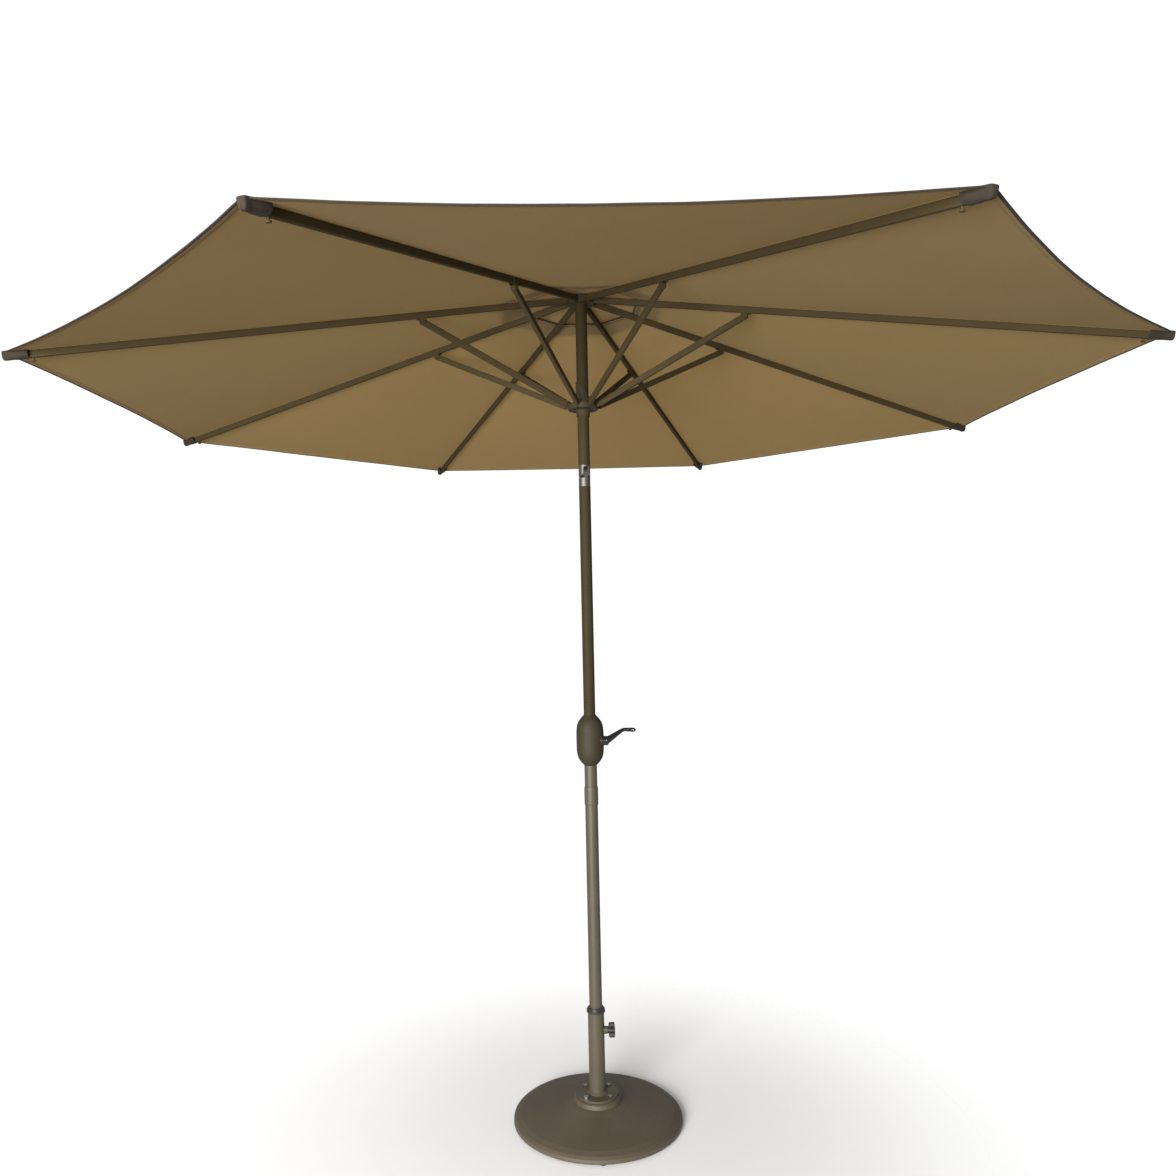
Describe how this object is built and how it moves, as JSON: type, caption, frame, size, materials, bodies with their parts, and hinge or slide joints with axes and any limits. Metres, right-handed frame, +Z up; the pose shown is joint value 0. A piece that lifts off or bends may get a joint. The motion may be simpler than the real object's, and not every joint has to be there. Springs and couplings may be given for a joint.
{
  "type": "patio umbrella with base",
  "caption": "Round market umbrella on a weighted base, with a crank lift, a tilting upper pole, folding ribs and a vented canopy.",
  "frame": {"origin": "centre of the base's footprint, on the ground under the pole's axis", "axes": "+Z up along the pole; +X towards the crank's side; ribs at 22.5 degrees plus steps of 45 about +Z"},
  "size_m": [2.8254, 2.8254, 2.5422],
  "materials": {
    "frame_paint": "satin powder coat",
    "base_paint": "textured powder coat",
    "frame_plastic": "satin moulded",
    "black_plastic": "gloss moulded",
    "dark_rubber": "matt",
    "bare_metal": "die-cast",
    "plated_steel": "zinc plated",
    "canopy_cloth": "woven polyester",
    "cord_cloth": "braided"
  },
  "bodies": {
    "base": {"base_weight": "base_paint", "base_feet": "dark_rubber", "base_stem": "frame_paint", "stem_bolts": "plated_steel", "stem_collar": "black_plastic"},
    "clamp_knob": {"clamp_knob": "black_plastic"},
    "mast": {"lower_pole": "frame_paint", "pole_collar": "frame_plastic", "main_pole_lower": "frame_paint", "main_pole_upper": "frame_paint", "housing_front": "frame_plastic", "housing_back": "frame_plastic", "housing_screws": "plated_steel", "tilt_socket": "bare_metal", "tilt_pin": "plated_steel", "lift_cord_lower": "cord_cloth"},
    "snap_button": {"snap_button": "plated_steel"},
    "crank": {"crank_spool": "plated_steel", "crank_arm": "black_plastic"},
    "crank_grip": {"crank_grip": "black_plastic"},
    "head": {"tilt_head": "bare_metal", "upper_pole": "frame_paint", "top_hub": "frame_plastic", "lift_cord": "cord_cloth"},
    "pulley": {"pulley": "bare_metal"},
    "tilt_button": {"tilt_button": "black_plastic"},
    "finial": {"finial": "frame_plastic"},
    "runner": {"runner": "frame_plastic"},
    "rib_1": {"rib_1": "frame_paint"},
    "strut_1": {"strut_1": "frame_paint"},
    "gore_1_left": {"gore_1_left": "canopy_cloth"},
    "gore_1_right": {"gore_1_right": "canopy_cloth"},
    "rib_2": {"rib_2": "frame_paint"},
    "strut_2": {"strut_2": "frame_paint"},
    "gore_2_left": {"gore_2_left": "canopy_cloth"},
    "gore_2_right": {"gore_2_right": "canopy_cloth"},
    "rib_3": {"rib_3": "frame_paint"},
    "strut_3": {"strut_3": "frame_paint"},
    "gore_3_left": {"gore_3_left": "canopy_cloth"},
    "gore_3_right": {"gore_3_right": "canopy_cloth"},
    "rib_4": {"rib_4": "frame_paint"},
    "strut_4": {"strut_4": "frame_paint"},
    "gore_4_left": {"gore_4_left": "canopy_cloth"},
    "gore_4_right": {"gore_4_right": "canopy_cloth"},
    "rib_5": {"rib_5": "frame_paint"},
    "strut_5": {"strut_5": "frame_paint"},
    "gore_5_left": {"gore_5_left": "canopy_cloth"},
    "gore_5_right": {"gore_5_right": "canopy_cloth"},
    "rib_6": {"rib_6": "frame_paint"},
    "strut_6": {"strut_6": "frame_paint"},
    "gore_6_left": {"gore_6_left": "canopy_cloth"},
    "gore_6_right": {"gore_6_right": "canopy_cloth"},
    "rib_7": {"rib_7": "frame_paint"},
    "strut_7": {"strut_7": "frame_paint"},
    "gore_7_left": {"gore_7_left": "canopy_cloth"},
    "gore_7_right": {"gore_7_right": "canopy_cloth"},
    "rib_8": {"rib_8": "frame_paint"},
    "strut_8": {"strut_8": "frame_paint"},
    "gore_8_left": {"gore_8_left": "canopy_cloth"},
    "gore_8_right": {"gore_8_right": "canopy_cloth"}
  },
  "joints": [
    {"name": "swivel", "type": "hinge", "parent": "base", "child": "mast", "pos_m": [0, 0, 0.03], "axis": [0, 0, 1], "continuous": true},
    {"name": "clamp_turn", "type": "hinge", "parent": "base", "child": "clamp_knob", "pos_m": [0.04, 0, 0.262], "axis": [1, 0, 0], "range_deg": [-720, 0]},
    {"name": "snap_press", "type": "slide", "parent": "mast", "child": "snap_button", "axis": [-0.1736, 0.9848, 0], "range_m": [-0.004, 0], "stiffness_N_per_m": 500},
    {"name": "tilt", "type": "hinge", "parent": "mast", "child": "head", "pos_m": [0, 0, 1.929], "axis": [0.9659, 0.2588, 0], "range_deg": [-35, 0]},
    {"name": "tilt_press", "type": "slide", "parent": "mast", "child": "tilt_button", "axis": [-0.2588, 0.9659, 0], "range_m": [-0.004, 0], "stiffness_N_per_m": 500},
    {"name": "finial_turn", "type": "hinge", "parent": "head", "child": "finial", "pos_m": [0, 0, 2.48], "axis": [0, 0, 1], "continuous": true},
    {"name": "fold", "type": "hinge", "parent": "head", "child": "rib_1", "pos_m": [0.02772, 0.01148, 2.45], "axis": [-0.3827, 0.9239, 0], "range_deg": [0, 72.12]},
    {"name": "rib_2_fold", "type": "hinge", "parent": "head", "child": "rib_2", "pos_m": [0.01148, 0.02772, 2.45], "axis": [-0.9239, 0.3827, 0], "range_deg": [0, 72.13]},
    {"name": "rib_3_fold", "type": "hinge", "parent": "head", "child": "rib_3", "pos_m": [-0.01148, 0.02772, 2.45], "axis": [-0.9239, -0.3827, 0], "range_deg": [0, 72.13]},
    {"name": "rib_4_fold", "type": "hinge", "parent": "head", "child": "rib_4", "pos_m": [-0.02772, 0.01148, 2.45], "axis": [-0.3827, -0.9239, 0], "range_deg": [0, 72.13]},
    {"name": "rib_5_fold", "type": "hinge", "parent": "head", "child": "rib_5", "pos_m": [-0.02772, -0.01148, 2.45], "axis": [0.3827, -0.9239, 0], "range_deg": [0, 72.13]},
    {"name": "rib_6_fold", "type": "hinge", "parent": "head", "child": "rib_6", "pos_m": [-0.01148, -0.02772, 2.45], "axis": [0.9239, -0.3827, 0], "range_deg": [0, 72.13]},
    {"name": "rib_7_fold", "type": "hinge", "parent": "head", "child": "rib_7", "pos_m": [0.01148, -0.02772, 2.45], "axis": [0.9239, 0.3827, 0], "range_deg": [0, 72.13]},
    {"name": "rib_8_fold", "type": "hinge", "parent": "head", "child": "rib_8", "pos_m": [0.02772, -0.01148, 2.45], "axis": [0.3827, 0.9239, 0], "range_deg": [0, 72.13]},
    {"name": "strut_1_fold", "type": "hinge", "parent": "rib_1", "child": "strut_1", "pos_m": [0.4558, 0.1888, 2.33784], "axis": [-0.3827, 0.9239, 0], "range_deg": [-134.33, 0]},
    {"name": "strut_2_fold", "type": "hinge", "parent": "rib_2", "child": "strut_2", "pos_m": [0.1888, 0.4558, 2.33784], "axis": [-0.9239, 0.3827, 0], "range_deg": [-134.33, 0]},
    {"name": "strut_3_fold", "type": "hinge", "parent": "rib_3", "child": "strut_3", "pos_m": [-0.1888, 0.4558, 2.33784], "axis": [-0.9239, -0.3827, 0], "range_deg": [-134.33, 0]},
    {"name": "strut_4_fold", "type": "hinge", "parent": "rib_4", "child": "strut_4", "pos_m": [-0.4558, 0.1888, 2.33784], "axis": [-0.3827, -0.9239, 0], "range_deg": [-134.33, 0]},
    {"name": "strut_5_fold", "type": "hinge", "parent": "rib_5", "child": "strut_5", "pos_m": [-0.4558, -0.1888, 2.33784], "axis": [0.3827, -0.9239, 0], "range_deg": [-134.33, 0]},
    {"name": "strut_6_fold", "type": "hinge", "parent": "rib_6", "child": "strut_6", "pos_m": [-0.1888, -0.4558, 2.33784], "axis": [0.9239, -0.3827, 0], "range_deg": [-134.33, 0]},
    {"name": "strut_7_fold", "type": "hinge", "parent": "rib_7", "child": "strut_7", "pos_m": [0.1888, -0.4558, 2.33784], "axis": [0.9239, 0.3827, 0], "range_deg": [-134.33, 0]},
    {"name": "strut_8_fold", "type": "hinge", "parent": "rib_8", "child": "strut_8", "pos_m": [0.4558, -0.1888, 2.33784], "axis": [0.3827, 0.9239, 0], "range_deg": [-134.33, 0]},
    {"name": "gore_1_left_fold", "type": "hinge", "parent": "rib_1", "child": "gore_1_left", "pos_m": [0.63399, 0.26261, 2.32859], "axis": [0.9057, 0.3752, -0.1974], "range_deg": [0, 64.67]},
    {"name": "gore_1_right_fold", "type": "hinge", "parent": "rib_1", "child": "gore_1_right", "pos_m": [0.63399, 0.26261, 2.32859], "axis": [-0.9057, -0.3752, 0.1974], "range_deg": [0, 64.67]},
    {"name": "gore_2_left_fold", "type": "hinge", "parent": "rib_2", "child": "gore_2_left", "pos_m": [0.26261, 0.63399, 2.32859], "axis": [0.3752, 0.9057, -0.1974], "range_deg": [0, 64.67]},
    {"name": "gore_2_right_fold", "type": "hinge", "parent": "rib_2", "child": "gore_2_right", "pos_m": [0.26261, 0.63399, 2.32859], "axis": [-0.3752, -0.9057, 0.1974], "range_deg": [0, 64.67]},
    {"name": "gore_3_left_fold", "type": "hinge", "parent": "rib_3", "child": "gore_3_left", "pos_m": [-0.26261, 0.63399, 2.32859], "axis": [-0.3752, 0.9057, -0.1974], "range_deg": [0, 64.67]},
    {"name": "gore_3_right_fold", "type": "hinge", "parent": "rib_3", "child": "gore_3_right", "pos_m": [-0.26261, 0.63399, 2.32859], "axis": [0.3752, -0.9057, 0.1974], "range_deg": [0, 64.67]},
    {"name": "gore_4_left_fold", "type": "hinge", "parent": "rib_4", "child": "gore_4_left", "pos_m": [-0.63399, 0.26261, 2.32859], "axis": [-0.9057, 0.3752, -0.1974], "range_deg": [0, 64.67]},
    {"name": "gore_4_right_fold", "type": "hinge", "parent": "rib_4", "child": "gore_4_right", "pos_m": [-0.63399, 0.26261, 2.32859], "axis": [0.9057, -0.3752, 0.1974], "range_deg": [0, 64.67]},
    {"name": "gore_5_left_fold", "type": "hinge", "parent": "rib_5", "child": "gore_5_left", "pos_m": [-0.63399, -0.26261, 2.32859], "axis": [-0.9057, -0.3752, -0.1974], "range_deg": [0, 64.67]},
    {"name": "gore_5_right_fold", "type": "hinge", "parent": "rib_5", "child": "gore_5_right", "pos_m": [-0.63399, -0.26261, 2.32859], "axis": [0.9057, 0.3752, 0.1974], "range_deg": [0, 64.67]},
    {"name": "gore_6_left_fold", "type": "hinge", "parent": "rib_6", "child": "gore_6_left", "pos_m": [-0.26261, -0.63399, 2.32859], "axis": [-0.3752, -0.9057, -0.1974], "range_deg": [0, 64.67]},
    {"name": "gore_6_right_fold", "type": "hinge", "parent": "rib_6", "child": "gore_6_right", "pos_m": [-0.26261, -0.63399, 2.32859], "axis": [0.3752, 0.9057, 0.1974], "range_deg": [0, 64.67]},
    {"name": "gore_7_left_fold", "type": "hinge", "parent": "rib_7", "child": "gore_7_left", "pos_m": [0.26261, -0.63399, 2.32859], "axis": [0.3752, -0.9057, -0.1974], "range_deg": [0, 64.67]},
    {"name": "gore_7_right_fold", "type": "hinge", "parent": "rib_7", "child": "gore_7_right", "pos_m": [0.26261, -0.63399, 2.32859], "axis": [-0.3752, 0.9057, 0.1974], "range_deg": [0, 64.67]},
    {"name": "gore_8_left_fold", "type": "hinge", "parent": "rib_8", "child": "gore_8_left", "pos_m": [0.63399, -0.26261, 2.32859], "axis": [0.9057, -0.3752, -0.1974], "range_deg": [0, 64.67]},
    {"name": "gore_8_right_fold", "type": "hinge", "parent": "rib_8", "child": "gore_8_right", "pos_m": [0.63399, -0.26261, 2.32859], "axis": [-0.9057, 0.3752, 0.1974], "range_deg": [0, 64.67]},
    {"name": "runner_slide", "type": "slide", "parent": "head", "child": "runner", "axis": [0, 0, 1], "range_m": [-0.6522, 0], "deforming": ["lift_cord"]},
    {"name": "crank_turn", "type": "hinge", "parent": "mast", "child": "crank", "pos_m": [0.04532, -0.02113, 1.125], "axis": [0.9063, -0.4226, 0], "range_deg": [0, 3243]},
    {"name": "grip_spin", "type": "hinge", "parent": "crank", "child": "crank_grip", "pos_m": [0.12208, 0.00153, 1.15317], "axis": [0.9063, -0.4226, 0], "continuous": true},
    {"name": "pulley_turn", "type": "hinge", "parent": "head", "child": "pulley", "pos_m": [0, 0.0205, 2.465], "axis": [1, 0, 0], "range_deg": [-4154.14, 0]}
  ],
  "couplings": [
    {"joint": "rib_2_fold", "follows": "fold", "ratio": 1},
    {"joint": "rib_3_fold", "follows": "fold", "ratio": 1},
    {"joint": "rib_4_fold", "follows": "fold", "ratio": 1},
    {"joint": "rib_5_fold", "follows": "fold", "ratio": 1},
    {"joint": "rib_6_fold", "follows": "fold", "ratio": 1},
    {"joint": "rib_7_fold", "follows": "fold", "ratio": 1},
    {"joint": "rib_8_fold", "follows": "fold", "ratio": 1},
    {"joint": "strut_1_fold", "follows": "fold", "ratio": -1.8619},
    {"joint": "strut_2_fold", "follows": "fold", "ratio": -1.8619},
    {"joint": "strut_3_fold", "follows": "fold", "ratio": -1.8619},
    {"joint": "strut_4_fold", "follows": "fold", "ratio": -1.8619},
    {"joint": "strut_5_fold", "follows": "fold", "ratio": -1.8619},
    {"joint": "strut_6_fold", "follows": "fold", "ratio": -1.8619},
    {"joint": "strut_7_fold", "follows": "fold", "ratio": -1.8619},
    {"joint": "strut_8_fold", "follows": "fold", "ratio": -1.8619},
    {"joint": "gore_1_left_fold", "follows": "fold", "ratio": 0.89609},
    {"joint": "gore_1_right_fold", "follows": "fold", "ratio": 0.89609},
    {"joint": "gore_2_left_fold", "follows": "fold", "ratio": 0.89609},
    {"joint": "gore_2_right_fold", "follows": "fold", "ratio": 0.89609},
    {"joint": "gore_3_left_fold", "follows": "fold", "ratio": 0.89609},
    {"joint": "gore_3_right_fold", "follows": "fold", "ratio": 0.89609},
    {"joint": "gore_4_left_fold", "follows": "fold", "ratio": 0.89609},
    {"joint": "gore_4_right_fold", "follows": "fold", "ratio": 0.89609},
    {"joint": "gore_5_left_fold", "follows": "fold", "ratio": 0.89609},
    {"joint": "gore_5_right_fold", "follows": "fold", "ratio": 0.89609},
    {"joint": "gore_6_left_fold", "follows": "fold", "ratio": 0.89609},
    {"joint": "gore_6_right_fold", "follows": "fold", "ratio": 0.89609},
    {"joint": "gore_7_left_fold", "follows": "fold", "ratio": 0.89609},
    {"joint": "gore_7_right_fold", "follows": "fold", "ratio": 0.89609},
    {"joint": "gore_8_left_fold", "follows": "fold", "ratio": 0.89609},
    {"joint": "gore_8_right_fold", "follows": "fold", "ratio": 0.89609},
    {"joint": "runner_slide", "follows": "fold", "m_per_rad": -0.51793},
    {"joint": "crank_turn", "follows": "fold", "ratio": 44.927},
    {"joint": "pulley_turn", "follows": "fold", "ratio": -57.548}
  ]
}
